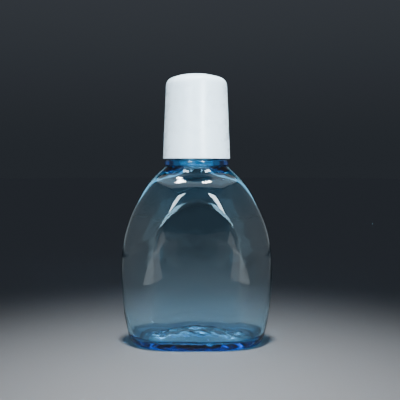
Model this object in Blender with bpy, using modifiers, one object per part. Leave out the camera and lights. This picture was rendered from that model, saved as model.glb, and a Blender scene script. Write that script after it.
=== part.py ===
"""Contact lens solution bottle: an oval squeeze bottle with flat arched panels, a press-fitted drip nozzle,
and a two-part screw cap whose loose tip seal closes the nozzle.

Metres, +Z up. The origin is the centre of the footprint, on the surface the bottle stands on; X runs along
the wide side and Y from front to back.
"""

import math

import bmesh
import bpy

MM = 0.001
SEGMENTS = 48  # facets round every turned or lofted piece
AXIS_MERGE = 1e-5  # joins the points of a turned profile that lie on the axis

# --- Bottle body -------------------------------------------------------------------------------------------
# Each table runs up the bottle and is joined by a smooth curve.
WIDTH_POINTS = [  # (height, half width)
    (0.0, 15.3 * MM),
    (3.0 * MM, 16.25 * MM),
    (7.5 * MM, 17.15 * MM),
    (12.0 * MM, 17.6 * MM),
    (17.0 * MM, 17.75 * MM),
    (22.0 * MM, 17.4 * MM),
    (26.0 * MM, 16.6 * MM),
    (30.2 * MM, 15.2 * MM),
    (34.4 * MM, 13.1 * MM),
    (37.2 * MM, 11.4 * MM),
    (39.5 * MM, 9.25 * MM),
    (41.3 * MM, 7.3 * MM),
]
DEPTH_POINTS = [  # (height, half depth), before the panels flatten the oval
    (0.0, 8.15 * MM),
    (3.0 * MM, 8.25 * MM),
    (7.5 * MM, 8.5 * MM),
    (12.0 * MM, 8.75 * MM),
    (17.0 * MM, 8.9 * MM),
    (22.0 * MM, 9.0 * MM),
    (26.0 * MM, 9.03 * MM),
    (30.2 * MM, 8.8 * MM),
    (32.5 * MM, 8.52 * MM),
    (34.5 * MM, 8.12 * MM),
    (36.3 * MM, 7.55 * MM),
    (37.3 * MM, 7.08 * MM),
    (38.1 * MM, 6.43 * MM),
    (38.9 * MM, 5.74 * MM),
    (39.6 * MM, 5.35 * MM),
    (40.4 * MM, 5.2 * MM),
    (41.3 * MM, 5.3 * MM),
]
OVAL_POWER_POINTS = [  # (height, power of the oval's curve: 2 is an ellipse, and more has squarer corners)
    (0.0, 2.8),
    (4.0 * MM, 2.5),
    (9.0 * MM, 2.05),
    (14.0 * MM, 1.85),
    (20.0 * MM, 1.8),
    (30.0 * MM, 1.8),
    (38.0 * MM, 2.0),
]
WALL_POINTS = [  # (height, wall at the sides, wall at the front and back beside the panels)
    (0.0, 1.0 * MM, 1.0 * MM),
    (3.0 * MM, 0.75 * MM, 0.75 * MM),
    (8.0 * MM, 0.45 * MM, 0.5 * MM),
    (14.0 * MM, 0.36 * MM, 0.42 * MM),
    (24.0 * MM, 0.34 * MM, 0.45 * MM),
    (29.0 * MM, 0.42 * MM, 0.7 * MM),
    (33.0 * MM, 0.65 * MM, 1.15 * MM),
    (35.5 * MM, 0.95 * MM, 1.3 * MM),
    (38.0 * MM, 1.5 * MM, 1.25 * MM),
    (39.6 * MM, 2.4 * MM, 1.15 * MM),
    (40.8 * MM, 3.3 * MM, 1.1 * MM),
]
PANEL_WALL_POINTS = [  # (height, wall of the panels)
    (0.0, 1.1 * MM),
    (3.0 * MM, 0.95 * MM),
    (10.0 * MM, 0.8 * MM),
    (24.0 * MM, 0.75 * MM),
    (33.0 * MM, 0.8 * MM),
    (38.0 * MM, 1.0 * MM),
]
PANEL_BLEND_POINTS = [  # (height, how softly a panel runs into the oval round it)
    (0.0, 0.2 * MM),
    (22.0 * MM, 0.25 * MM),
    (30.0 * MM, 0.3 * MM),
    (36.0 * MM, 0.4 * MM),
]
PANEL_DEPTH = 7.92 * MM  # from the centre to the middle of the front and back panels
PANEL_BOW = 110.0 * MM  # radius of the panels' slight bulge
PANEL_CORNER = 0.3 * MM  # how far the foot is set back from the panels
SIDE_CORNER = 1.6 * MM  # bottom corner radius at the sides
FRONT_CORNER = 0.9 * MM  # and at the front and back
FOOT_WIDTH = 1.3 * MM  # flat ring that the bottle stands on
PUSH_UP = 2.2 * MM  # how high the middle of the underside is dished
FLOOR_THICKNESS = 1.2 * MM
FLOOR_CORNER = 1.5 * MM

# --- Neck --------------------------------------------------------------------------------------------------
COLLAR_RADIUS = 7.3 * MM  # solid collar below the cap
COLLAR_BOTTOM = 41.3 * MM
COLLAR_TOP = 42.7 * MM
COLLAR_EDGE = 0.25 * MM
NECK_RADIUS = 5.3 * MM
NECK_TOP = 51.3 * MM
NECK_EDGE = 0.2 * MM
BORE_RADIUS = 4.08 * MM

# --- Thread ------------------------------------------------------------------------------------------------
PITCH = 2.5 * MM
THREAD_TURNS = 1.75
THREAD_RUN_OUT = 0.12  # share of a turn over which a ridge fades in or out
THREAD_OVERLAP = 0.25 * MM  # how deep a ridge is rooted in its wall
NECK_RIDGE_RADIUS = 5.9 * MM
NECK_RIDGE_START = 45.1 * MM
NECK_RIDGE_WIDTHS = (1.2 * MM, 0.5 * MM)  # at the root and at the crest
CAP_RIDGE_RADIUS = 5.45 * MM
CAP_RIDGE_DROP = 1.05 * MM  # how far the cap's ridge lies below the neck's when closed
CAP_RIDGE_WIDTHS = (1.0 * MM, 0.45 * MM)

# --- Nozzle plug, heights from the underside of its flange -------------------------------------------------
PLUG_Z = NECK_TOP + 0.1 * MM
SLEEVE_RADIUS = 3.97 * MM
SLEEVE_LENGTH = 9.8 * MM
SLEEVE_BORE = 3.15 * MM
BEAD_HEIGHTS = (-1.6 * MM, -3.6 * MM)
BEAD_RISE = 0.06 * MM
BEAD_HALF_WIDTH = 0.4 * MM
FLANGE_RADIUS = 5.1 * MM
FLANGE_THICKNESS = 0.8 * MM
SPOUT_FOOT_RADIUS = 3.5 * MM
SPOUT_TIP_RADIUS = 1.9 * MM
SPOUT_HEIGHT = 6.88 * MM
ORIFICE_RADIUS = 0.3 * MM
DRIP_MOUTH_RADIUS = 0.95 * MM

# --- Cap, heights from its bottom edge ---------------------------------------------------------------------
CAP_Z = 43.0 * MM
CAP_FOOT_RADIUS = 7.75 * MM
CAP_SHOULDER_RADIUS = 7.02 * MM
CAP_SHOULDER_Z = 16.7 * MM
CAP_CORNER = 1.9 * MM
CAP_HEIGHT = 19.4 * MM
DOME_RADIUS = 16.8 * MM
SHELL_WALL = 0.88 * MM
CROWN_WALL = 1.1 * MM
CAP_FIT = 0.14 * MM  # between the inner cap and the shell

INNER_CAP_FOOT = 0.35 * MM  # the inner cap's edge sits this far up inside the shell
THREAD_WALL_RADIUS = 6.05 * MM
THREAD_WALL_TOP = 8.8 * MM
UPPER_BORE_RADIUS = 5.6 * MM
UPPER_BORE_TOP_RADIUS = 5.1 * MM
CEILING_Z = 16.9 * MM
INNER_CAP_TOP = 17.8 * MM
SOCKET_RADIUS = 2.9 * MM  # ring under the ceiling that holds the tip seal
SOCKET_OUTER_RADIUS = 3.6 * MM
SOCKET_DEPTH = 2.1 * MM
LIP_RADIUS = 2.5 * MM
LIP_THICKNESS = 0.3 * MM
CRUSH_RIBS = 12
CRUSH_RIB_WIDTH = 0.5 * MM
CRUSH_RIB_BOTTOM = 3.0 * MM
CRUSH_RIB_TOP = 14.0 * MM

# --- Tip seal, heights from its underside ------------------------------------------------------------------
SEAL_RADIUS = 2.74 * MM
SEAL_THICKNESS = 1.45 * MM
SEAL_GAP = 0.05 * MM  # below the ceiling
SEAL_DISH_RADIUS = 1.2 * MM
SEAL_DISH_DEPTH = 0.2 * MM


def clear_scene():
    for obj in list(bpy.data.objects):
        bpy.data.objects.remove(obj)


def new_collection(name):
    collection = bpy.data.collections.new(name)
    bpy.context.scene.collection.children.link(collection)
    return collection


def plastic(name, colour, roughness, transmission=0.0):
    material = bpy.data.materials.new(name)
    material.use_nodes = True
    shader = material.node_tree.nodes["Principled BSDF"]
    shader.inputs["Base Color"].default_value = (*colour, 1.0)
    shader.inputs["Roughness"].default_value = roughness
    shader.inputs["Metallic"].default_value = 0.0
    shader.inputs["Transmission Weight"].default_value = transmission
    return material


def add_object(name, mesh, collection, material=None, z=0.0):
    obj = bpy.data.objects.new(name, mesh)
    obj.location.z = z
    if material:
        mesh.materials.append(material)
    collection.objects.link(obj)
    return obj


def smooth_through(points, at):
    """The value at a height on a smooth curve through (height, value) points."""
    if at <= points[0][0]:
        return points[0][1]
    if at >= points[-1][0]:
        return points[-1][1]
    index = next(i for i in range(len(points) - 1) if at <= points[i + 1][0])

    def slope(i):
        before, after = points[max(i - 1, 0)], points[min(i + 1, len(points) - 1)]
        return (after[1] - before[1]) / (after[0] - before[0])

    (x0, y0), (x1, y1) = points[index], points[index + 1]
    span = x1 - x0
    t = (at - x0) / span
    from_values = y0 * (2 * t**3 - 3 * t**2 + 1) + y1 * (3 * t**2 - 2 * t**3)
    from_slopes = slope(index) * (t**3 - 2 * t**2 + t) + slope(index + 1) * (t**3 - t**2)
    return from_values + from_slopes * span


def half_width(z):
    return smooth_through(WIDTH_POINTS, z)


def half_depth(z):
    return smooth_through(DEPTH_POINTS, z)


def wall_thickness(z):
    """The wall at the sides, and at the front and back."""
    side = smooth_through([(height, side) for height, side, _ in WALL_POINTS], z)
    front = smooth_through([(height, front) for height, _, front in WALL_POINTS], z)
    return side, front


def corner_inset(z, radius):
    """How far a rounded bottom corner of this radius draws the wall in at height z above its lowest point."""
    if z >= radius:
        return 0.0
    return radius - math.sqrt(radius**2 - (radius - z) ** 2)


def circle(radius, z):
    return oval(radius, radius, z)


def oval(across, deep, z, panel=None):
    """One ring of points. Where a panel depth is given, the oval is flattened to it, front and back."""
    points = []
    for step in range(SEGMENTS):
        angle = 2 * math.pi * step / SEGMENTS
        cosine, sine = math.cos(angle), math.sin(angle)
        power = smooth_through(OVAL_POWER_POINTS, z)
        reach = (abs(cosine / across) ** power + abs(sine / deep) ** power) ** (-1 / power)
        if panel is not None:
            blend = smooth_through(PANEL_BLEND_POINTS, z)
            reach = soft_minimum(reach, panel_reach(abs(sine), panel), blend)
        points.append((reach * cosine, reach * sine, z))
    return points


def panel_reach(sine, depth):
    """How far the bowed panel lies from the axis, in the direction with this sine."""
    offset = sine * (PANEL_BOW - depth)
    return math.sqrt(offset**2 + depth * (2 * PANEL_BOW - depth)) - offset


def soft_minimum(a, b, blend):
    overlap = max(blend - abs(a - b), 0.0)
    return min(a, b) - overlap**2 / (4 * blend)


def loft(rings, bottom_centre, top_centre):
    """A closed mesh through rings of equal counts, ending in a point at each end."""
    shape = bmesh.new()
    rows = [[shape.verts.new(p) for p in ring] for ring in rings]
    first, last = shape.verts.new(bottom_centre), shape.verts.new(top_centre)
    for i in range(SEGMENTS):
        j = (i + 1) % SEGMENTS
        shape.faces.new((first, rows[0][j], rows[0][i]))
        for low, high in zip(rows, rows[1:]):
            shape.faces.new((low[i], low[j], high[j], high[i]))
        shape.faces.new((last, rows[-1][i], rows[-1][j]))
    mesh = bpy.data.meshes.new("loft")
    shape.to_mesh(mesh)
    shape.free()
    return mesh


def outer_rings():
    """Rings up the outside of the bottle, from the dished underside to the rim."""
    foot_across = half_width(0.0) - SIDE_CORNER
    foot_deep = half_depth(0.0) - FRONT_CORNER
    inner_across, inner_deep = foot_across - FOOT_WIDTH, foot_deep - FOOT_WIDTH
    rings = [
        oval(inner_across * share, inner_deep * share, PUSH_UP * (1 - share**2))
        for share in (0.3, 0.6, 0.82, 1.0)
    ]
    rings.append(oval(foot_across, foot_deep, 0.0, PANEL_DEPTH - PANEL_CORNER))
    corner_heights = [SIDE_CORNER * (1 - math.cos(math.radians(a))) for a in (20, 40, 60, 90)]
    heights = (4.5, 8.0, 12.5, 17.0, 21.0, 24.5, 27.5, 30.0, 32.0, 33.6, 34.9, 36.0, 37.0, 37.9, 38.7, 39.5, 40.4)
    for z in corner_heights + [height * MM for height in heights]:
        across = half_width(z) - corner_inset(z, SIDE_CORNER)
        deep = half_depth(z) - corner_inset(z, FRONT_CORNER)
        rings.append(oval(across, deep, z, PANEL_DEPTH - corner_inset(z, PANEL_CORNER)))
    rings.append(oval(COLLAR_RADIUS - 0.1 * MM, half_depth(COLLAR_BOTTOM), COLLAR_BOTTOM))
    rings += [
        circle(COLLAR_RADIUS, COLLAR_BOTTOM + COLLAR_EDGE / 2),
        circle(COLLAR_RADIUS, COLLAR_TOP - COLLAR_EDGE),
        circle(COLLAR_RADIUS - COLLAR_EDGE, COLLAR_TOP),
        circle(NECK_RADIUS, COLLAR_TOP),
        circle(NECK_RADIUS, NECK_TOP - NECK_EDGE),
        circle(NECK_RADIUS - NECK_EDGE, NECK_TOP),
    ]
    return rings


def inner_rings():
    """Rings down the inside of the bottle, from the rim to the raised middle of the floor."""
    rings = [circle(BORE_RADIUS, z) for z in (NECK_TOP, COLLAR_BOTTOM)]
    heights = (40.8, 40.2, 39.5, 38.6, 37.4, 36.0, 34.3, 32.0, 29.0, 25.6, 21.5, 17.0, 11.5, 6.5, 3.8)
    floor = FLOOR_THICKNESS
    corner_heights = [floor + FLOOR_CORNER * (1 - math.cos(math.radians(a))) for a in (80, 55, 30)]
    for z in [height * MM for height in heights] + corner_heights:
        side, front = wall_thickness(z)
        inset = corner_inset(z - floor, FLOOR_CORNER)
        across, deep = half_width(z) - side - inset, half_depth(z) - front - inset
        panel = PANEL_DEPTH - smooth_through(PANEL_WALL_POINTS, z) - inset
        rings.append(oval(across, deep, z, panel))
    floor_wall = FLOOR_CORNER + SIDE_CORNER / 2
    across, deep = half_width(0.0) - floor_wall, half_depth(0.0) - floor_wall
    for share in (1.0, 0.8, 0.55, 0.28):
        rings.append(oval(across * share, deep * share, floor + PUSH_UP * (1 - share**2)))
    return rings


def helix_ridge(name, wall_radius, crest_radius, widths, start_z, collection):
    """A screw-thread ridge, rooted inside the wall it joins, whose ends fade into that wall."""
    root_width, crest_width = widths
    outward = 1 if crest_radius > wall_radius else -1
    root_radius = wall_radius - outward * THREAD_OVERLAP
    steps = round(THREAD_TURNS * SEGMENTS)
    shape = bmesh.new()
    sections = []
    for step in range(steps + 1):
        turns = step / SEGMENTS
        angle = 2 * math.pi * turns
        fade = min(1.0, turns / THREAD_RUN_OUT, (THREAD_TURNS - turns) / THREAD_RUN_OUT)
        rise = fade * (crest_radius - wall_radius) - (1 - fade) * outward * THREAD_OVERLAP / 2
        centre = start_z + PITCH * turns
        corners = [
            (root_radius, centre - root_width / 2),
            (wall_radius + rise, centre - crest_width / 2),
            (wall_radius + rise, centre + crest_width / 2),
            (root_radius, centre + root_width / 2),
        ]
        sections.append([shape.verts.new((r * math.cos(angle), r * math.sin(angle), z)) for r, z in corners])
    for a, b in zip(sections, sections[1:]):
        for i in range(len(a)):
            j = (i + 1) % len(a)
            shape.faces.new((a[i], b[i], b[j], a[j]))
    shape.faces.new(sections[0])
    shape.faces.new(reversed(sections[-1]))
    bmesh.ops.recalc_face_normals(shape, faces=shape.faces)
    mesh = bpy.data.meshes.new(name)
    shape.to_mesh(mesh)
    shape.free()
    return helper(add_object(name, mesh, collection))


def helper(obj):
    obj.hide_render = True
    obj.display_type = "WIRE"
    return obj


def join(obj, other):
    """Unites a helper shape with an object."""
    modifier = obj.modifiers.new(other.name, "BOOLEAN")
    modifier.operation = "UNION"
    modifier.solver = "EXACT"
    modifier.object = other


def turned(name, profile, collection, material, z):
    """A turned solid. The (radius, height) profile runs down its outer side; it closes on itself unless it
    starts and ends on the axis."""
    mesh = bpy.data.meshes.new(name)
    count = len(profile)
    edges = [(i, i + 1) for i in range(count - 1)]
    if profile[0][0] > 0:
        edges.append((count - 1, 0))
    mesh.from_pydata([(radius, 0, height) for radius, height in profile], edges, [])
    obj = add_object(name, mesh, collection, material, z)
    screw = obj.modifiers.new("turn", "SCREW")
    screw.axis = "Z"
    screw.angle = 2 * math.pi
    screw.steps = screw.render_steps = SEGMENTS
    screw.use_merge_vertices = True
    screw.merge_threshold = AXIS_MERGE
    screw.use_smooth_shade = True
    return obj


def arc(centre, radius, start, end, count):
    """Points on an arc in a (radius, height) profile, from one angle to another in degrees."""
    angles = [math.radians(start + (end - start) * i / (count - 1)) for i in range(count)]
    return [(centre[0] + radius * math.cos(a), centre[1] + radius * math.sin(a)) for a in angles]


def build_bottle(parts, helpers):
    rings = outer_rings() + inner_rings()
    mesh = loft(rings, (0, 0, PUSH_UP), (0, 0, FLOOR_THICKNESS + PUSH_UP))
    mesh.shade_smooth()
    mesh.set_sharp_from_angle(angle=math.radians(40))
    bottle = add_object("bottle", mesh, parts, plastic("blue_tinted_pet", (0.30, 0.66, 0.82), 0.05, 0.9))
    ridge = helix_ridge(
        "neck_thread", NECK_RADIUS, NECK_RIDGE_RADIUS, NECK_RIDGE_WIDTHS, NECK_RIDGE_START, helpers
    )
    join(bottle, ridge)


def build_nozzle_plug(parts):
    beads = []
    for height in BEAD_HEIGHTS:
        beads += [
            (SLEEVE_RADIUS, height + BEAD_HALF_WIDTH),
            (SLEEVE_RADIUS + BEAD_RISE, height),
            (SLEEVE_RADIUS, height - BEAD_HALF_WIDTH),
        ]
    tip_z = SPOUT_HEIGHT
    profile = [
        (DRIP_MOUTH_RADIUS, tip_z),
        *arc((SPOUT_TIP_RADIUS - 0.6 * MM, tip_z - 0.6 * MM), 0.6 * MM, 90, 10, 4),
        (SPOUT_TIP_RADIUS + 0.2 * MM, tip_z - 2.2 * MM),
        (SPOUT_FOOT_RADIUS - 0.5 * MM, FLANGE_THICKNESS + 1.2 * MM),
        (SPOUT_FOOT_RADIUS, FLANGE_THICKNESS),
        (FLANGE_RADIUS - 0.2 * MM, FLANGE_THICKNESS),
        (FLANGE_RADIUS, FLANGE_THICKNESS - 0.2 * MM),
        (FLANGE_RADIUS, 0.0),
        (SLEEVE_RADIUS, 0.0),
        *beads,
        (SLEEVE_RADIUS, -SLEEVE_LENGTH + 0.5 * MM),
        (SLEEVE_RADIUS - 0.3 * MM, -SLEEVE_LENGTH),
        (SLEEVE_BORE, -SLEEVE_LENGTH),
        (SLEEVE_BORE, -0.4 * MM),
        (1.1 * MM, 3.9 * MM),
        (ORIFICE_RADIUS, 4.7 * MM),
        (ORIFICE_RADIUS, 5.3 * MM),
    ]
    turned("nozzle_plug", profile, parts, plastic("natural_ldpe", (0.87, 0.90, 0.90), 0.35), PLUG_Z)


def build_outer_cap(parts, parent):
    dome_centre_z = CAP_HEIGHT - DOME_RADIUS
    corner_centre = (CAP_SHOULDER_RADIUS - CAP_CORNER, CAP_SHOULDER_Z)
    dome_edge = math.degrees(math.asin((CAP_SHOULDER_RADIUS - CAP_CORNER) / DOME_RADIUS))
    inner_shoulder = CAP_SHOULDER_RADIUS - SHELL_WALL
    ceiling_centre_z = dome_centre_z - CROWN_WALL
    ceiling_edge = math.degrees(math.asin((inner_shoulder - 0.9 * MM) / DOME_RADIUS))
    profile = [
        *arc((0.0, dome_centre_z), DOME_RADIUS, 90, 90 - dome_edge, 6),
        *arc(corner_centre, CAP_CORNER, 62, 0, 5),
        (CAP_FOOT_RADIUS, 0.12 * MM),
        (CAP_FOOT_RADIUS - 0.12 * MM, 0.0),
        (CAP_FOOT_RADIUS - SHELL_WALL, 0.0),
        (inner_shoulder, CAP_SHOULDER_Z - 0.6 * MM),
        *arc((0.0, ceiling_centre_z), DOME_RADIUS, 90 - ceiling_edge, 90, 5),
    ]
    profile[0] = (0.0, CAP_HEIGHT)
    profile[-1] = (0.0, CAP_HEIGHT - CROWN_WALL)
    cap = turned("outer_cap", profile, parts, plastic("white_polypropylene", (0.86, 0.89, 0.90), 0.25), 0.0)
    cap.parent = parent


def crush_ribs(outer_radius_at, helpers):
    """Upright ribs round the inner cap, which grip the shell. One mesh of separate closed boxes."""
    shape = bmesh.new()
    for index in range(CRUSH_RIBS):
        angle = 2 * math.pi * (index + 0.5) / CRUSH_RIBS
        along, beside = (math.cos(angle), math.sin(angle)), (-math.sin(angle), math.cos(angle))
        corners = []
        for height in (CRUSH_RIB_BOTTOM, CRUSH_RIB_TOP):
            wall = outer_radius_at(height)
            for reach in (wall - 0.3 * MM, wall + CAP_FIT / 2):
                for side in (-CRUSH_RIB_WIDTH / 2, CRUSH_RIB_WIDTH / 2):
                    x = reach * along[0] + side * beside[0]
                    y = reach * along[1] + side * beside[1]
                    corners.append(shape.verts.new((x, y, height)))
        quads = ((0, 1, 3, 2), (4, 6, 7, 5), (0, 4, 5, 1), (2, 3, 7, 6), (0, 2, 6, 4), (1, 5, 7, 3))
        for quad in quads:
            shape.faces.new([corners[i] for i in quad])
    bmesh.ops.recalc_face_normals(shape, faces=shape.faces)
    mesh = bpy.data.meshes.new("crush_ribs")
    shape.to_mesh(mesh)
    shape.free()
    return helper(add_object("crush_ribs", mesh, helpers))


def build_inner_cap(parts, helpers, parent):
    taper = (CAP_FOOT_RADIUS - CAP_SHOULDER_RADIUS) / (CAP_SHOULDER_Z - 0.6 * MM)

    def outer_radius_at(height):
        return CAP_FOOT_RADIUS - SHELL_WALL - CAP_FIT - taper * height

    top_edge_z = CAP_SHOULDER_Z - 0.8 * MM
    socket_floor = CEILING_Z - SOCKET_DEPTH
    profile = [
        (0.0, INNER_CAP_TOP),
        (4.6 * MM, INNER_CAP_TOP - 0.35 * MM),
        (outer_radius_at(top_edge_z), top_edge_z),
        (outer_radius_at(INNER_CAP_FOOT), INNER_CAP_FOOT),
        (THREAD_WALL_RADIUS + 0.2 * MM, INNER_CAP_FOOT),
        (THREAD_WALL_RADIUS, INNER_CAP_FOOT + 0.3 * MM),
        (THREAD_WALL_RADIUS, THREAD_WALL_TOP - 0.3 * MM),
        (UPPER_BORE_RADIUS, THREAD_WALL_TOP),
        (UPPER_BORE_TOP_RADIUS, CEILING_Z - 0.8 * MM),
        (UPPER_BORE_TOP_RADIUS - 0.8 * MM, CEILING_Z),
        (SOCKET_OUTER_RADIUS, CEILING_Z),
        (SOCKET_OUTER_RADIUS, socket_floor),
        (LIP_RADIUS, socket_floor),
        (LIP_RADIUS, socket_floor + LIP_THICKNESS),
        (SOCKET_RADIUS, socket_floor + LIP_THICKNESS),
        (SOCKET_RADIUS, CEILING_Z),
        (0.0, CEILING_Z),
    ]
    cap = turned("inner_cap", profile, parts, plastic("white_polyethylene", (0.84, 0.86, 0.86), 0.4), 0.0)
    cap.parent = parent
    ridge_start = NECK_RIDGE_START - CAP_RIDGE_DROP - CAP_Z
    ridge = helix_ridge(
        "cap_thread", THREAD_WALL_RADIUS, CAP_RIDGE_RADIUS, CAP_RIDGE_WIDTHS, ridge_start, helpers
    )
    ribs = crush_ribs(outer_radius_at, helpers)
    for part in (ridge, ribs):
        part.parent = parent
        join(cap, part)


def build_tip_seal(parts, parent):
    profile = [
        (0.0, SEAL_THICKNESS),
        (SEAL_RADIUS - 0.2 * MM, SEAL_THICKNESS),
        (SEAL_RADIUS, SEAL_THICKNESS - 0.2 * MM),
        (SEAL_RADIUS, 0.2 * MM),
        (SEAL_RADIUS - 0.2 * MM, 0.0),
        (SEAL_DISH_RADIUS, 0.0),
        (SEAL_DISH_RADIUS - 0.3 * MM, SEAL_DISH_DEPTH),
        (0.0, SEAL_DISH_DEPTH),
    ]
    height = CEILING_Z - SEAL_GAP - SEAL_THICKNESS
    seal = turned("tip_seal", profile, parts, plastic("soft_elastomer", (0.80, 0.81, 0.80), 0.6), height)
    seal.parent = parent


def main():
    clear_scene()
    parts = new_collection("contact_lens_solution_bottle")
    helpers = new_collection("helpers")
    cap_axis = bpy.data.objects.new("cap_axis", None)
    cap_axis.location.z = CAP_Z
    parts.objects.link(cap_axis)
    build_bottle(parts, helpers)
    build_nozzle_plug(parts)
    build_outer_cap(parts, cap_axis)
    build_inner_cap(parts, helpers, cap_axis)
    build_tip_seal(parts, cap_axis)


main()
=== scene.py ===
"""Looks for the contact lens solution bottle: a clear blue-tinted PET bottle with a white screw cap.

It stands on a pale floor, lit by a soft pool of light in a dim studio. Shapes are in millimetres, and
mesh_object turns them into metres. The stage, lamps and camera are in metres."""

import math

import bmesh
import bpy
import numpy as np
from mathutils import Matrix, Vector


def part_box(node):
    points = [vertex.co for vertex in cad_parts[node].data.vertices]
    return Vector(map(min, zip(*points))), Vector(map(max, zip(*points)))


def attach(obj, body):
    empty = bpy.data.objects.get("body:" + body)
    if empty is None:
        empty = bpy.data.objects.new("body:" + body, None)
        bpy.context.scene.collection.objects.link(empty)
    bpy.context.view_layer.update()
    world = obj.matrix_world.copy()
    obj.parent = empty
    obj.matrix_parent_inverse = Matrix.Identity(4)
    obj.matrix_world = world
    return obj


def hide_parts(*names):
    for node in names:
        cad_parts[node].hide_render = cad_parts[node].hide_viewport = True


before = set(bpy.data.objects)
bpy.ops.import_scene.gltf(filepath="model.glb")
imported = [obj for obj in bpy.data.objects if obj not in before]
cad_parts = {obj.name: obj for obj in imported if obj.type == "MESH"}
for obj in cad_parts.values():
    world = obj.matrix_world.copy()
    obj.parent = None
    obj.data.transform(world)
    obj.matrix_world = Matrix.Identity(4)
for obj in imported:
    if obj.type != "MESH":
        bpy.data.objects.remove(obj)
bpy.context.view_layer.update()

MM = 0.001
BODY_STEPS = 280  # points round the bottle
TURNED_STEPS = 160  # points round the nozzle, caps and seal
FULL_TURN = 2 * math.pi

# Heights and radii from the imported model, in metres.
NECK_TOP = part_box("bottle")[1].z
CAP_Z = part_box("outer_cap")[0].z
CAP_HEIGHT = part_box("outer_cap")[1].z - CAP_Z
CAP_FOOT_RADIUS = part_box("outer_cap")[1].x
INNER_CAP_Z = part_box("inner_cap")[0].z
INNER_CAP_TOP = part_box("inner_cap")[1].z
PLUG_FLANGE_Z = NECK_TOP + 0.1 * MM
PLUG_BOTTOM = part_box("nozzle_plug")[0].z
TIP_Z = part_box("nozzle_plug")[1].z
SEAL_BOTTOM, SEAL_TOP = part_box("tip_seal")[0].z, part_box("tip_seal")[1].z
SEAL_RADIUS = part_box("tip_seal")[1].x

# --- Bottle body, in millimetres: (height, value) -----------------------------------------------------------
WIDTH = [
    (0.0, 15.3), (3.0, 16.25), (7.5, 17.15), (12.0, 17.6), (17.0, 17.75), (22.0, 17.4), (26.0, 16.6),
    (30.2, 15.2), (34.4, 13.1), (37.2, 11.4), (39.5, 9.25), (41.3, 7.3),
]
DEPTH = [
    (0.0, 8.15), (3.0, 8.25), (7.5, 8.5), (12.0, 8.75), (17.0, 8.9), (22.0, 9.0), (26.0, 9.03), (30.2, 8.8),
    (32.5, 8.52), (34.5, 8.12), (36.3, 7.55), (37.3, 7.08), (38.1, 6.43), (38.9, 5.74), (39.6, 5.35),
    (40.4, 5.2), (41.3, 5.3),
]
# Power of the oval's curve: 2 is an ellipse, and more has squarer corners.
OVAL_POWER = [(0.0, 2.8), (4.0, 2.5), (9.0, 2.05), (14.0, 1.85), (20.0, 1.8), (30.0, 1.8), (38.0, 2.0)]
SIDE_WALL = [(0.0, 1.0), (3.0, 0.75), (8.0, 0.45), (14.0, 0.36), (24.0, 0.34), (29.0, 0.42), (33.0, 0.65),
             (35.5, 0.95), (38.0, 1.5), (39.6, 2.4), (40.8, 3.3)]
FRONT_WALL = [(0.0, 1.0), (3.0, 0.75), (8.0, 0.5), (14.0, 0.42), (24.0, 0.45), (29.0, 0.7), (33.0, 1.15),
              (35.5, 1.3), (38.0, 1.25), (39.6, 1.15), (40.8, 1.1)]
PANEL_WALL = [(0.0, 1.1), (3.0, 0.95), (10.0, 0.8), (24.0, 0.75), (33.0, 0.8), (38.0, 1.0)]
PANEL_BLEND = [(0.0, 0.16), (22.0, 0.2), (30.0, 0.24), (36.0, 0.34)]
PANEL_DEPTH = 7.92  # from the centre to the middle of the front and back panels
PANEL_BOW = 110.0  # radius of the panels' slight bulge
PANEL_CORNER = 0.3  # bottom corner radius under the panels
SIDE_CORNER = 1.6  # bottom corner radius at the sides
FRONT_CORNER = 0.9  # and at the front and back, beside the panels
FOOT_WIDTH = 1.3  # flat ring that the bottle stands on
PUSH_UP = 2.2  # how high the middle of the underside is dished
GATE_DEPTH, GATE_RADIUS = 0.25, 1.1  # dimple that the moulding gate left under the base
BASE_WALL = 1.2  # thickness of the base at the wall
INNER_CORNER = 1.5  # radius where the base meets the wall inside
SEAM_HEIGHT, SEAM_WIDTH = 0.03, 0.12  # the mould's parting line
SEAM_RADIUS = 9.0  # radius of the wall's curve at the parting line
SEAM_GAP = 0.01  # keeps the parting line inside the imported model's box
RING_GAP = 0.8  # between the rings of the wall
SHOULDER_Z, SHOULDER_RING_GAP = 33.0, 0.25  # they are closer together above this
INSIDE_TOP = 40.8  # where the inside starts to close in to the bore
CALM_TOP, CALM_SPAN = 39.0, 6.0  # the inner wall's unevenness fades out by this height, over this span
UNDER_RELIEF, INNER_RELIEF = (0.05, 0.4), (0.12, 1.3)  # depth and pattern of the base's uneven surfaces

COLLAR_RADIUS = 7.3
COLLAR_BOTTOM = 41.3
COLLAR_TOP = 42.7
# Rings from the body's oval top to the round collar: half width, half depth, height over the collar's bottom.
COLLAR_JOIN = [
    (7.42, 5.42, -0.12), (7.28, 5.48, -0.04), (7.2, 5.62, 0.0), (7.18, 6.2, 0.02), (7.18, 6.9, 0.03),
    (7.2, 7.14, 0.07), (7.25, 7.25, 0.15), (7.29, 7.29, 0.25), (7.3, 7.3, 0.36),
]
NECK_RADIUS = 5.3
BORE_RADIUS = 4.08
BORE_BOTTOM = COLLAR_BOTTOM + 0.5

# --- Threads, in millimetres --------------------------------------------------------------------------------
PITCH = 2.5
THREAD_TURNS = 1.75
THREAD_FADE = 0.12  # share of a turn over which the ridge runs out at each end
THREAD_RISE = 0.6  # height of the ridge
NECK_THREAD_START = 45.1
NECK_THREAD_ROOT, NECK_THREAD_CREST = 0.6, 0.25  # half widths of the ridge
NECK_THREAD_Z = (43.6, 50.6)
CAP_THREAD_START = 44.05
CAP_THREAD_ROOT, CAP_THREAD_CREST = 0.5, 0.22
CAP_THREAD_RADIUS = 6.05  # wall of the inner cap that its thread stands on
CAP_RIBS, CAP_RIB_HEIGHT = 12, 0.06  # crush ribs that hold the inner cap in the outer one


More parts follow.
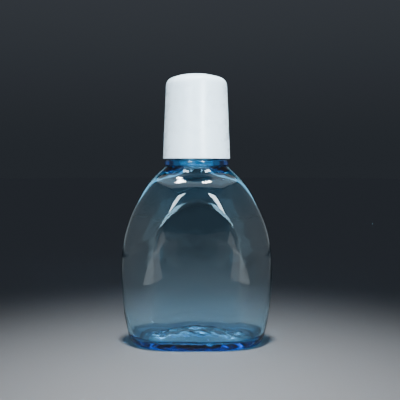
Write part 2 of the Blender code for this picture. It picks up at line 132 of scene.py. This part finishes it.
# --- Curves -------------------------------------------------------------------------------------------------
def smooth_through(points, at):
    """The value at a height on a smooth curve through (height, value) points."""
    if at <= points[0][0]:
        return points[0][1]
    if at >= points[-1][0]:
        return points[-1][1]
    index = next(i for i in range(len(points) - 1) if at <= points[i + 1][0])

    def slope(i):
        before, after = points[max(i - 1, 0)], points[min(i + 1, len(points) - 1)]
        return (after[1] - before[1]) / (after[0] - before[0])

    (x0, y0), (x1, y1) = points[index], points[index + 1]
    span = x1 - x0
    t = (at - x0) / span
    from_values = y0 * (2 * t**3 - 3 * t**2 + 1) + y1 * (3 * t**2 - 2 * t**3)
    from_slopes = slope(index) * (t**3 - 2 * t**2 + t) + slope(index + 1) * (t**3 - t**2)
    return from_values + from_slopes * span


def corner_inset(height, radius):
    """How far a rounded bottom corner sets the wall back at a height above its foot."""
    if height >= radius:
        return 0.0
    return radius - math.sqrt(max(radius**2 - (radius - height) ** 2, 0.0))


# --- Mesh building ------------------------------------------------------------------------------------------
def mesh_object(name, rows, closed_loop=False):
    """A smooth closed mesh through rows of points. A row of one point is a pole."""
    verts, starts = [], []
    for row in rows:
        starts.append(len(verts))
        verts.extend(map(tuple, np.asarray(row, float) * MM))
    faces = []
    pairs = list(zip(range(len(rows)), range(1, len(rows))))
    if closed_loop:
        pairs.append((len(rows) - 1, 0))
    for low, high in pairs:
        a, b = starts[low], starts[high]
        na, nb = len(rows[low]), len(rows[high])
        count = max(na, nb)
        for i in range(count):
            j = (i + 1) % count
            if na == 1:
                faces.append((a, b + j, b + i))
            elif nb == 1:
                faces.append((a + i, a + j, b))
            else:
                faces.append((a + i, a + j, b + j, b + i))
    mesh = bpy.data.meshes.new(name)
    mesh.from_pydata(verts, [], faces)
    shape = bmesh.new()
    shape.from_mesh(mesh)
    bmesh.ops.recalc_face_normals(shape, faces=shape.faces)
    if shape.calc_volume(signed=True) < 0:
        bmesh.ops.reverse_faces(shape, faces=shape.faces)
    shape.to_mesh(mesh)
    shape.free()
    mesh.shade_smooth()
    mesh.set_sharp_from_angle(angle=math.radians(50))
    obj = bpy.data.objects.new(name, mesh)
    bpy.context.scene.collection.objects.link(obj)
    return obj


def rounded(points, steps=5, hold=0.12):
    """Rounds the corners of a (radius, height, corner radius) outline.

    A point hold away from each corner keeps the flats between the corners flat."""
    made = []
    for index, point in enumerate(points):
        here = np.array(point[:2], float)
        radius = point[2] if len(point) > 2 else 0.0
        if radius <= 0 or index in (0, len(points) - 1):
            made.append(tuple(here))
            continue
        before = np.array(points[index - 1][:2], float) - here
        after = np.array(points[index + 1][:2], float) - here
        to_before, to_after = before / np.linalg.norm(before), after / np.linalg.norm(after)
        half = math.acos(np.clip(to_before @ to_after, -1, 1)) / 2
        reach = radius / math.tan(half)
        limit = 0.48 * min(np.linalg.norm(before), np.linalg.norm(after))
        if reach > limit:
            reach, radius = limit, limit * math.tan(half)
        middle = to_before + to_after
        centre = here + middle / np.linalg.norm(middle) * radius / math.sin(half)
        start, end = here + to_before * reach, here + to_after * reach
        if np.linalg.norm(before) - reach > 3 * hold:
            made.append(tuple(start + to_before * hold))
        first = math.atan2(*(start - centre)[::-1])
        sweep = (math.atan2(*(end - centre)[::-1]) - first + math.pi) % FULL_TURN - math.pi
        for step in range(steps + 1):
            angle = first + sweep * step / steps
            made.append(tuple(centre + radius * np.array([math.cos(angle), math.sin(angle)])))
        if np.linalg.norm(after) - reach > 3 * hold:
            made.append(tuple(end + to_after * hold))
    return made


def turned(name, profile, relief=None, steps=TURNED_STEPS):
    """A turned solid. relief gives how far its surface stands out at each angle, radius and height."""
    angles = np.arange(steps) * FULL_TURN / steps
    rows = []
    for radius, height in profile:
        if radius < 1e-6:
            rows.append([(0.0, 0.0, height)])
            continue
        reach = np.full(steps, float(radius))
        if relief:
            reach = reach + relief(angles, radius, height)
        rows.append(np.stack([reach * np.cos(angles), reach * np.sin(angles), np.full(steps, height)], 1))
    return mesh_object(name, rows, closed_loop=profile[0][0] > 1e-6)


def fine(profile, low, high, step):
    """Adds points to the straight parts of a profile between two heights, so that relief there is smooth."""
    made = [profile[0]]
    for (r0, z0), (r1, z1) in zip(profile, profile[1:]):
        if min(z0, z1) < high and max(z0, z1) > low and abs(z1 - z0) > step:
            count = int(abs(z1 - z0) / step)
            made += [(r0 + (r1 - r0) * i / count, z0 + (z1 - z0) * i / count) for i in range(1, count)]
        made.append((r1, z1))
    return made


def thread_height(angles, height, start, root, crest):
    """How far a helical ridge stands out, for each angle at one height. It fades in and out at its ends."""
    out = np.zeros_like(angles)
    for turn in range(int(THREAD_TURNS) + 2):
        turns = angles / FULL_TURN + turn
        fade = np.clip(np.minimum(turns, THREAD_TURNS - turns) / THREAD_FADE, 0, 1)
        away = np.abs(height - (start + PITCH * turns))
        flank = np.clip((root - away) / (root - crest), 0, 1)
        flank = flank * flank * (3 - 2 * flank)
        out = np.maximum(out, THREAD_RISE * fade * fade * (3 - 2 * fade) * flank)
    return out


# --- Bottle -------------------------------------------------------------------------------------------------
BODY_ANGLES = np.arange(BODY_STEPS) * FULL_TURN / BODY_STEPS


def oval(across, deep, height, panel=None, swell=0.0):
    """One ring of the bottle. A panel depth flattens its front and back to bowed panels with soft edges.

    swell moves the whole ring outward, by one amount or by an amount for each angle."""
    cosine, sine = np.cos(BODY_ANGLES), np.sin(BODY_ANGLES)
    power = 2 / smooth_through(OVAL_POWER, height)
    x = across * np.sign(cosine) * np.abs(cosine) ** power
    y = deep * np.sign(sine) * np.abs(sine) ** power
    reach = np.hypot(x, y)
    shrink = np.ones(BODY_STEPS)
    if panel is not None:
        blend = smooth_through(PANEL_BLEND, height)
        offset = np.abs(y) / reach * (PANEL_BOW - panel)
        flat = np.sqrt(offset**2 + panel * (2 * PANEL_BOW - panel)) - offset
        overlap = np.maximum(blend - np.abs(reach - flat), 0.0)
        shrink = (np.minimum(reach, flat) - overlap**2 / (4 * blend)) / reach
    shrink = shrink * (1 + swell / reach)
    return np.stack([x * shrink, y * shrink, np.full(BODY_STEPS, height)], 1)


def circle(radius, height, relief=0.0):
    """One ring of the neck."""
    x, y = (radius + relief) * np.cos(BODY_ANGLES), (radius + relief) * np.sin(BODY_ANGLES)
    return np.stack([x, y, np.full(BODY_STEPS, height)], 1)


def seam():
    """The mould's parting line, a fine raised line up each side."""
    beside = np.abs(np.sin(BODY_ANGLES)) * SEAM_RADIUS
    return -SEAM_GAP - SEAM_HEIGHT * (1 - np.exp(-((beside / SEAM_WIDTH) ** 2)))


def ripple(height):
    """Slow unevenness of the blown inner wall."""
    t = BODY_ANGLES
    return (
        0.020 * np.sin(3 * t + 0.31 * height)
        + 0.014 * np.sin(5 * t - 0.53 * height + 1.0)
        + 0.010 * np.sin(9 * t + 0.9 * height + 2.0)
    )


def dish(share):
    """How high the base rises, from its foot ring (share 1) to its middle (share 0)."""
    return PUSH_UP * 0.5 * (1 + math.cos(math.pi * share**1.25))


def pucker(row, relief):
    """Makes a ring of the base uneven, as where the plastic was pinched off and cooled slowly."""
    depth, turn = relief
    made = np.array(row, float)
    x, y = made[:, 0], made[:, 1]
    edge = np.exp(-((np.hypot(x / 13.5, y / 7.0)) ** 8))  # smooth towards the foot ring
    made[:, 2] += depth * edge * (
        0.5 * np.sin(1.15 * x + 0.9 * y + turn)
        + 0.35 * np.sin(2.1 * x - 1.3 * y + 2.0 * turn)
        + 0.25 * np.sin(3.3 * y + 1.7 * x + 3.0 * turn)
    )
    return made


def bottle_rows():
    """The bottle's rings, from the middle of the underside up the outside, over the rim and inside."""
    return underside_rows() + outside_rows() + collar_and_neck_rows() + inside_rows()


def underside_rows():
    """From the gate's dimple over the dished base to the foot ring."""
    rows = [pucker([(0.0, 0.0, dish(0.0) - GATE_DEPTH)], UNDER_RELIEF)]
    foot_across, foot_deep = WIDTH[0][1] - SIDE_CORNER, DEPTH[0][1] - FRONT_CORNER
    inner_across, inner_deep = foot_across - FOOT_WIDTH, foot_deep - FOOT_WIDTH
    for share in [0.04 * i for i in range(1, 26)]:
        gate = GATE_DEPTH * math.exp(-((share * inner_across / GATE_RADIUS) ** 6))
        ring = oval(inner_across * share, inner_deep * share, dish(share) - gate)
        rows.append(pucker(ring, UNDER_RELIEF))
    for step in range(1, 4):
        add = FOOT_WIDTH * step / 3
        rows.append(oval(inner_across + add, inner_deep + add, 0.0, PANEL_DEPTH - PANEL_CORNER))
    return rows


def outside_rows():
    """From the bottom corner up the flanks and panels to the top of the shoulder."""
    rows = []
    corner = [SIDE_CORNER * (1 - math.cos(math.radians(a))) for a in range(10, 91, 8)]
    wall = np.arange(SIDE_CORNER + 0.3, SHOULDER_Z, RING_GAP)
    shoulder = np.arange(SHOULDER_Z + 0.2, COLLAR_BOTTOM - 0.2, SHOULDER_RING_GAP)
    for z in [*corner, *wall, *shoulder]:
        across = smooth_through(WIDTH, z) - corner_inset(z, SIDE_CORNER)
        deep = smooth_through(DEPTH, z) - corner_inset(z, FRONT_CORNER)
        rows.append(oval(across, deep, z, PANEL_DEPTH - corner_inset(z, PANEL_CORNER), seam()))
    return rows


def collar_and_neck_rows():
    """From the foot of the collar up the threaded neck, over the rim and down the bore."""
    rows = [oval(across, deep, COLLAR_BOTTOM + up) for across, deep, up in COLLAR_JOIN]
    top = NECK_TOP / MM
    outline = rounded([
        (COLLAR_RADIUS, COLLAR_BOTTOM + 0.5), (COLLAR_RADIUS, COLLAR_TOP, 0.3),
        (NECK_RADIUS, COLLAR_TOP, 0.35), (NECK_RADIUS, top, 0.22),
        (BORE_RADIUS, top, 0.15), (BORE_RADIUS, COLLAR_BOTTOM + 0.8),
    ])
    rim = max(index for index, point in enumerate(outline) if point[0] > NECK_RADIUS - 0.01)
    for radius, z in fine(outline[:rim + 1], *NECK_THREAD_Z, 0.12) + outline[rim + 1:]:
        ridge = 0.0
        if abs(radius - NECK_RADIUS) < 0.01:
            ridge = thread_height(BODY_ANGLES, z, NECK_THREAD_START, NECK_THREAD_ROOT, NECK_THREAD_CREST)
        rows.append(circle(radius, z, ridge))
    return rows


def inside_rows():
    """From the bore down the inner wall to the middle of the base."""
    rows = []
    end_across = smooth_through(WIDTH, INSIDE_TOP) - smooth_through(SIDE_WALL, INSIDE_TOP)
    end_deep = smooth_through(DEPTH, INSIDE_TOP) - smooth_through(FRONT_WALL, INSIDE_TOP)
    for z in np.arange(BORE_BOTTOM + 0.1, INSIDE_TOP, -0.15):
        share = min(max((BORE_BOTTOM - z) / (BORE_BOTTOM - INSIDE_TOP), 0.0), 1.0)
        across = BORE_RADIUS + (end_across - BORE_RADIUS) * share**2
        deep = BORE_RADIUS + (end_deep - BORE_RADIUS) * share**2
        rows.append(oval(across, deep, z))
    corner = [BASE_WALL + INNER_CORNER * (1 - math.cos(math.radians(a))) for a in range(90, 9, -8)]
    shoulder = np.arange(INSIDE_TOP - 0.1, SHOULDER_Z, -SHOULDER_RING_GAP)
    wall = np.arange(SHOULDER_Z - 0.1, BASE_WALL + INNER_CORNER + 0.2, -RING_GAP)
    for z in [*shoulder, *wall, *corner]:
        side, front = smooth_through(SIDE_WALL, z), smooth_through(FRONT_WALL, z)
        inset = corner_inset(z - BASE_WALL, INNER_CORNER)
        across = smooth_through(WIDTH, z) - side - inset
        deep = smooth_through(DEPTH, z) - front - inset
        calm = min(1.0, max(0.0, (CALM_TOP - z) / CALM_SPAN))
        panel = PANEL_DEPTH - smooth_through(PANEL_WALL, z) - inset
        rows.append(oval(across, deep, z, panel, ripple(z) * calm))
    inset = INNER_CORNER + 0.15
    across = smooth_through(WIDTH, BASE_WALL) - smooth_through(SIDE_WALL, BASE_WALL) - inset
    deep = smooth_through(DEPTH, BASE_WALL) - smooth_through(FRONT_WALL, BASE_WALL) - inset
    for share in [1.0 - 0.045 * i for i in range(22)]:
        rows.append(pucker(oval(across * share, deep * share, BASE_WALL + dish(share)), INNER_RELIEF))
    rows.append(pucker([(0.0, 0.0, BASE_WALL + dish(0.0))], INNER_RELIEF))
    return rows


# --- Nozzle, caps and seal ----------------------------------------------------------------------------------
def nozzle_profile():
    """The drip nozzle's closed outline: tip, cone, flange, sleeve with its two beads, bore and drip hole."""
    flange, tip, bottom = PLUG_FLANGE_Z / MM, TIP_Z / MM, PLUG_BOTTOM / MM
    outline = [
        (0.95, tip, 0.12), (1.9, tip, 0.6), (2.1, tip - 2.2, 1.5), (3.0, flange + 2.0, 2.0),
        (3.5, flange + 0.8, 0.4), (5.1, flange + 0.8, 0.2), (5.1, flange, 0.08), (3.97, flange, 0.1),
        (3.97, flange - 1.2, 0.1), (4.03, flange - 1.6, 0.2), (3.97, flange - 2.0, 0.1),
        (3.97, flange - 3.2, 0.1), (4.03, flange - 3.6, 0.2), (3.97, flange - 4.0, 0.1),
        (3.97, bottom + 0.5, 0.2), (3.67, bottom, 0.1), (3.15, bottom, 0.1), (3.15, flange - 0.4, 1.5),
        (1.1, flange + 3.9, 0.6), (0.3, flange + 4.7, 0.15), (0.3, flange + 5.3, 0.15),
    ]
    return rounded([outline[-1], *outline, outline[0]])[1:-1]


def cap_outside():
    """The outer cap's dome, shoulder and side, each running smoothly into the next."""
    height, foot = CAP_HEIGHT / MM, CAP_FOOT_RADIUS / MM
    shoulder, shoulder_z = 7.02, 16.7  # where the side would meet the dome, above the foot
    corner, dome = 1.9, 16.8  # radii
    side = np.array([shoulder - foot, shoulder_z])
    side /= np.linalg.norm(side)
    outward = np.array([side[1], -side[0]])
    centre = np.array([0.0, height - dome])
    start = np.array([foot, 0.0]) - outward * corner
    along = (start - centre) @ side
    gap = (start - centre) @ (start - centre) - (dome - corner) ** 2
    middle = start + side * (-along + math.sqrt(along**2 - gap))
    meet = math.atan2(*(middle - centre)[::-1])
    side_angle = math.atan2(outward[1], outward[0])
    points = [(0.0, height)]
    for angle in np.linspace(math.pi / 2, meet, 14)[1:]:
        points.append((dome * math.cos(angle), centre[1] + dome * math.sin(angle)))
    for angle in np.linspace(meet, side_angle, 12)[1:]:
        points.append(tuple(middle + corner * np.array([math.cos(angle), math.sin(angle)])))
    return points


def outer_cap_profile():
    """The outer cap from the top of its dome down the outside, round its foot and up the inside."""
    height, foot = CAP_HEIGHT / MM, CAP_FOOT_RADIUS / MM
    outside = cap_outside()
    last = outside[-1]
    outside += [(last[0] + (foot - last[0]) * t, last[1] * (1 - t)) for t in (0.04, 0.25, 0.5, 0.75, 0.96)]
    inside = rounded([
        (foot - 0.02, 0.4), (foot, 0.0, 0.14), (foot - 0.88, 0.0, 0.1), (6.14, 16.1, 1.2), (5.3, 17.35, 1.0),
        (3.0, 18.05, 3.0), (0.0, height - 1.1),
    ])
    return [(r, z + CAP_Z / MM) for r, z in outside + inside]


def inner_cap_profile():
    """The inner cap from its crown down the outside, up the thread's wall and into the seal's socket."""
    base, top = INNER_CAP_Z / MM, INNER_CAP_TOP / MM
    cap = CAP_Z / MM
    ceiling = cap + 16.9
    outline = [
        (0.0, top), (4.6, top - 0.35, 0.8), (6.03, cap + 15.9, 0.6), (6.71, base, 0.12), (6.25, base, 0.1),
        (CAP_THREAD_RADIUS, base + 0.3, 0.2), (CAP_THREAD_RADIUS, cap + 8.5, 0.1), (5.6, cap + 8.8, 0.1),
        (5.1, ceiling - 0.8, 0.4), (4.3, ceiling, 0.4), (3.6, ceiling, 0.15), (3.6, ceiling - 2.1, 0.1),
        (2.5, ceiling - 2.1, 0.1), (2.5, ceiling - 1.8, 0.08), (2.9, ceiling - 1.8, 0.06),
        (2.9, ceiling, 0.06), (0.0, ceiling),
    ]
    return fine(rounded(outline), cap + 0.7, cap + 8.4, 0.1)


def inner_cap_relief(angles, radius, height):
    """The thread inside and the crush ribs outside."""
    if abs(radius - CAP_THREAD_RADIUS) < 0.01:
        return -thread_height(angles, height, CAP_THREAD_START, CAP_THREAD_ROOT, CAP_THREAD_CREST)
    if 2.9 < height - CAP_Z / MM < 14.1 and radius > 6.0:
        return CAP_RIB_HEIGHT * np.cos(CAP_RIBS * angles) ** 24
    return np.zeros_like(angles)


def seal_profile():
    """The soft disc that closes the nozzle's tip, with a shallow dimple below."""
    low, high, edge = SEAL_BOTTOM / MM, SEAL_TOP / MM, SEAL_RADIUS / MM
    return rounded([
        (0.0, high), (edge, high, 0.2), (edge, low, 0.2), (2.0, low, 0.1), (1.85, low + 0.07, 0.1),
        (1.25, low + 0.07, 0.1), (1.1, low + 0.2, 0.1), (0.0, low + 0.2),
    ])


# --- Materials ----------------------------------------------------------------------------------------------
WHITE = (1.0, 1.0, 1.0)
PET_IOR = 1.57
PET_TINT = (0.0, 0.72, 1.0)
PET_TINT_DENSITY = 450.0  # to the metre


def material(name, colour, roughness, values=None):
    """A Principled material. values sets more of its sockets by their names."""
    made = bpy.data.materials.new(name)
    made.use_nodes = True
    shader = made.node_tree.nodes["Principled BSDF"]
    shader.inputs["Base Color"].default_value = (*colour, 1.0)
    shader.inputs["Roughness"].default_value = roughness
    for socket, value in (values or {}).items():
        shader.inputs[socket].default_value = value
    return made, made.node_tree, shader


def noise(tree, scale, detail=3.0, stretch=(1.0, 1.0, 1.0)):
    """Noise fixed to the object, about scale features to the metre."""
    where = tree.nodes.new("ShaderNodeTexCoord")
    mapping = tree.nodes.new("ShaderNodeMapping")
    mapping.inputs["Scale"].default_value = stretch
    texture = tree.nodes.new("ShaderNodeTexNoise")
    texture.inputs["Scale"].default_value = scale
    texture.inputs["Detail"].default_value = detail
    tree.links.new(where.outputs["Object"], mapping.inputs["Vector"])
    tree.links.new(mapping.outputs["Vector"], texture.inputs["Vector"])
    return texture.outputs["Fac"]


def between(tree, value, low, high):
    """Spreads a noise value between two numbers."""
    spread = tree.nodes.new("ShaderNodeMapRange")
    spread.inputs["From Min"].default_value = 0.3
    spread.inputs["From Max"].default_value = 0.7
    spread.inputs["To Min"].default_value = low
    spread.inputs["To Max"].default_value = high
    tree.links.new(value, spread.inputs["Value"])
    return spread.outputs["Result"]


def bump(tree, value, distance, below=None):
    """A surface that a value lifts by up to distance, in metres, on top of another bump."""
    made = tree.nodes.new("ShaderNodeBump")
    made.inputs["Strength"].default_value = 1.0
    made.inputs["Distance"].default_value = distance
    tree.links.new(value, made.inputs["Height"])
    if below is not None:
        tree.links.new(below, made.inputs["Normal"])
    return made.outputs["Normal"]


def pet_material():
    """Clear PET that is bluer the deeper the light goes through it, with faint waves and a varying polish."""
    clear = {"Transmission Weight": 1.0, "IOR": PET_IOR}
    made, tree, shader = material("blue_tinted_pet", WHITE, 0.02, clear)
    absorb = tree.nodes.new("ShaderNodeVolumeAbsorption")
    absorb.inputs["Color"].default_value = (*PET_TINT, 1.0)
    absorb.inputs["Density"].default_value = PET_TINT_DENSITY
    tree.links.new(absorb.outputs["Volume"], tree.nodes["Material Output"].inputs["Volume"])
    tree.links.new(between(tree, noise(tree, 300.0), 0.008, 0.035), shader.inputs["Roughness"])
    waves = bump(tree, noise(tree, 220.0, 1.0, (1.0, 1.0, 0.5)), 0.00003)
    tree.links.new(waves, shader.inputs["Normal"])
    return made


def moulded_plastic(name, light, dark, roughness, grain, soft):
    """Opaque moulded plastic, clouded between two colours, with a varying polish and a fine grain.

    grain is its depth in metres, and soft the share of light that goes through the surface."""
    under = {"Subsurface Weight": soft, "Subsurface Radius": (1.0, 0.95, 0.9), "Subsurface Scale": 0.0012}
    made, tree, shader = material(name, light, roughness, under)
    mix = tree.nodes.new("ShaderNodeMix")
    mix.data_type = "RGBA"
    mix.inputs["A"].default_value = (*light, 1.0)
    mix.inputs["B"].default_value = (*dark, 1.0)
    tree.links.new(between(tree, noise(tree, 180.0, 4.0), 0.0, 1.0), mix.inputs["Factor"])
    tree.links.new(mix.outputs["Result"], shader.inputs["Base Color"])
    rough = between(tree, noise(tree, 500.0, 3.0), roughness - 0.04, roughness + 0.05)
    tree.links.new(rough, shader.inputs["Roughness"])
    slow = bump(tree, noise(tree, 260.0, 1.0), 0.00002)
    tree.links.new(bump(tree, noise(tree, 3500.0, 2.0), grain, below=slow), shader.inputs["Normal"])
    return made


# --- The object ---------------------------------------------------------------------------------------------
def place(obj, finish, body, node):
    """Gives a piece its material, the body it rides on and the CAD node it replaces."""
    obj.data.materials.append(finish)
    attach(obj, body)
    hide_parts(node)


bottle = mesh_object("blown_bottle", bottle_rows())
place(bottle, pet_material(), "bottle", "bottle")

nozzle = turned("drip_nozzle", nozzle_profile())
milky = moulded_plastic("natural_ldpe", (0.86, 0.90, 0.90), (0.80, 0.85, 0.86), 0.36, 0.000004, 0.5)
place(nozzle, milky, "bottle", "nozzle_plug")

outer = turned("cap_shell", outer_cap_profile())
glossy = moulded_plastic("white_polypropylene", (0.73, 0.86, 0.95), (0.70, 0.835, 0.93), 0.28, 0.000002, 0.25)
place(outer, glossy, "cap", "outer_cap")

inner = turned("cap_liner", inner_cap_profile(), inner_cap_relief)
satin = moulded_plastic("white_polyethylene", (0.84, 0.86, 0.86), (0.79, 0.81, 0.81), 0.42, 0.000005, 0.3)
place(inner, satin, "cap", "inner_cap")

seal = turned("nozzle_seal", seal_profile())
rubbery = moulded_plastic("soft_elastomer", (0.78, 0.79, 0.78), (0.72, 0.73, 0.72), 0.60, 0.000008, 0.2)
place(seal, rubbery, "tip_seal", "tip_seal")


# --- Stage --------------------------------------------------------------------------------------------------
FLOOR_RADIUS, FLOOR_SIDES = 1.6, 64
LENS = 50.3
CAMERA_AT = (0.0008, -0.130, 0.0418)
CAMERA_DIP = 3.68  # degrees below level
LOW_GLOW, HIGH_GLOW = (0.022, 0.026, 0.032), (0.040, 0.046, 0.055)  # the studio at the horizon and above
HIGH_FROM = 0.35  # height on the studio's unit sphere at which the high glow is reached
COOL, BLUE, CYAN = (0.78, 0.91, 1.0), (0.62, 0.85, 1.0), (0.40, 0.80, 1.0)
MIDDLE = (0.0, 0.0, 0.035)  # of the object
ABOVE = (0.0, 0.0, 0.15)  # level with the side lamps
CARD_HEIGHT = 0.001  # over the floor
WIDE = 180.0  # spread of a lamp that lights all in front of it

# Lamps that light everything but the floor: name, place, size, watts, target, spread in degrees, colour.
LAMPS = [
    ("strip_left", (-0.072, -0.04, 0.27), (0.030, 0.05), 0.06, MIDDLE, 60.0, WHITE),
    ("strip_right", (0.034, -0.04, 0.27), (0.040, 0.05), 0.08, MIDDLE, 60.0, WHITE),
    ("soft_left", (-0.140, -0.334, 0.13), (0.08, 0.15), 1.05, MIDDLE, WIDE, COOL),
    ("soft_right", (0.140, -0.334, 0.13), (0.08, 0.15), 1.50, MIDDLE, WIDE, COOL),
    ("ceiling", (0.0, 0.0, 0.50), (0.9, 0.9), 4.0, MIDDLE, WIDE, COOL),
    ("back_high", (0.0, 0.34, 0.28), (0.60, 0.22), 0.45, MIDDLE, WIDE, CYAN),
    ("side_left", (-0.30, 0.0, 0.15), (1.0, 0.30), 0.16, ABOVE, WIDE, WHITE),
    ("side_right", (0.30, 0.0, 0.15), (1.0, 0.30), 0.18, ABOVE, WIDE, WHITE),
]
# Glows lying on the floor that show only as reflections: name, bearing in degrees from the front, near end,
# far end, width, watts, colour.
CARDS = [
    ("low_left", -58.0, 0.04, 0.34, 0.34, 0.048, WHITE),
    ("low_right", 58.0, 0.04, 0.34, 0.34, 0.055, WHITE),
    ("near_left", -38.0, 0.08, 0.19, 0.06, 0.018, WHITE),
    ("near_right", 38.0, 0.08, 0.19, 0.06, 0.018, WHITE),
    ("mid_left", -30.0, 0.17, 0.60, 0.11, 0.13, WHITE),
    ("mid_right", 30.0, 0.17, 0.60, 0.11, 0.13, WHITE),
    ("near_front", 0.0, 0.16, 0.80, 0.14, 0.03, BLUE),
]
# The first lights only the outer cap, and the second only the floor.
CAP_LAMP = ("cap_front", (0.10, -0.45, 0.30), (0.40, 0.30), 2.0, MIDDLE, WIDE, COOL)
FLOOR_LAMP = ("floor_pool", (0.0, -0.045, 0.40), (0.05, 0.05), 0.033, (0.0, -0.045, 0.0), 25.4, WHITE)


def make_floor():
    """A pale, faintly grained disc, wide enough that its edge is lost in the dark."""
    angles = np.arange(FLOOR_SIDES) * FULL_TURN / FLOOR_SIDES
    rim = [(FLOOR_RADIUS * math.cos(a), FLOOR_RADIUS * math.sin(a), 0.0) for a in angles]
    mesh = bpy.data.meshes.new("floor")
    mesh.from_pydata(rim, [], [tuple(range(FLOOR_SIDES))])
    obj = bpy.data.objects.new("floor", mesh)
    bpy.context.scene.collection.objects.link(obj)
    finish, tree, shader = material("pale_floor", (0.46, 0.48, 0.51), 0.75)
    tree.links.new(bump(tree, noise(tree, 900.0, 4.0), 0.00004), shader.inputs["Normal"])
    mesh.materials.append(finish)
    return obj


def area_light(name, at, size, watts, target, spread, colour, skip=(), only=()):
    """A lamp that lights all but some objects, or only some. Without a target it faces straight up."""
    light = bpy.data.lights.new(name, "AREA")
    light.shape = "RECTANGLE"
    light.size, light.size_y = size
    light.energy = watts
    light.spread = math.radians(spread)
    light.color = colour
    obj = bpy.data.objects.new(name, light)
    obj.location = at
    if target is not None:
        obj.rotation_euler = (Vector(target) - Vector(at)).to_track_quat("-Z", "Y").to_euler()
    else:
        obj.rotation_euler = (math.pi, 0.0, math.atan2(at[0], -at[1]))
    obj.visible_camera = False
    bpy.context.scene.collection.objects.link(obj)
    linked = bpy.data.collections.new(name + "_lights")
    for number, other in enumerate((*skip, *only)):
        linked.objects.link(other)
        linked.collection_objects[number].light_linking.link_state = "INCLUDE" if other in only else "EXCLUDE"
    obj.light_linking.receiver_collection = linked


def make_lights(floor):
    """The lamps and cards light the bottle and not the floor, which has its own pool of light."""
    for lamp in LAMPS:
        area_light(*lamp, skip=[floor])
    for name, bearing, near, far, width, watts, colour in CARDS:
        turn, reach = math.radians(bearing), (near + far) / 2
        at = (math.sin(turn) * reach, -math.cos(turn) * reach, CARD_HEIGHT)
        area_light(name, at, (width, far - near), watts, None, WIDE, colour, skip=[floor])
    area_light(*CAP_LAMP, only=[outer])
    area_light(*FLOOR_LAMP, only=[floor])


def make_world():
    """A dim studio, darkest at the horizon, where it meets the far floor."""
    world = bpy.data.worlds.new("studio")
    world.use_nodes = True
    tree = world.node_tree
    direction = tree.nodes.new("ShaderNodeTexCoord")
    split = tree.nodes.new("ShaderNodeSeparateXYZ")
    height = tree.nodes.new("ShaderNodeMapRange")
    height.interpolation_type = "SMOOTHSTEP"
    height.inputs["From Min"].default_value = 0.0
    height.inputs["From Max"].default_value = HIGH_FROM
    mix = tree.nodes.new("ShaderNodeMix")
    mix.data_type = "RGBA"
    mix.inputs["A"].default_value = (*LOW_GLOW, 1.0)
    mix.inputs["B"].default_value = (*HIGH_GLOW, 1.0)
    tree.links.new(direction.outputs["Generated"], split.inputs["Vector"])
    tree.links.new(split.outputs["Z"], height.inputs["Value"])
    tree.links.new(height.outputs["Result"], mix.inputs["Factor"])
    tree.links.new(mix.outputs["Result"], tree.nodes["Background"].inputs["Color"])
    bpy.context.scene.world = world


def make_camera():
    """The photo's view, from in front and slightly above."""
    data = bpy.data.cameras.new("camera")
    data.sensor_width = 36.0
    data.lens = LENS
    data.clip_start = 0.002
    camera = bpy.data.objects.new("camera", data)
    camera.location = CAMERA_AT
    camera.rotation_euler = (math.radians(90 - CAMERA_DIP), 0.0, 0.0)
    bpy.context.scene.collection.objects.link(camera)
    bpy.context.scene.camera = camera


make_world()
make_lights(make_floor())
make_camera()
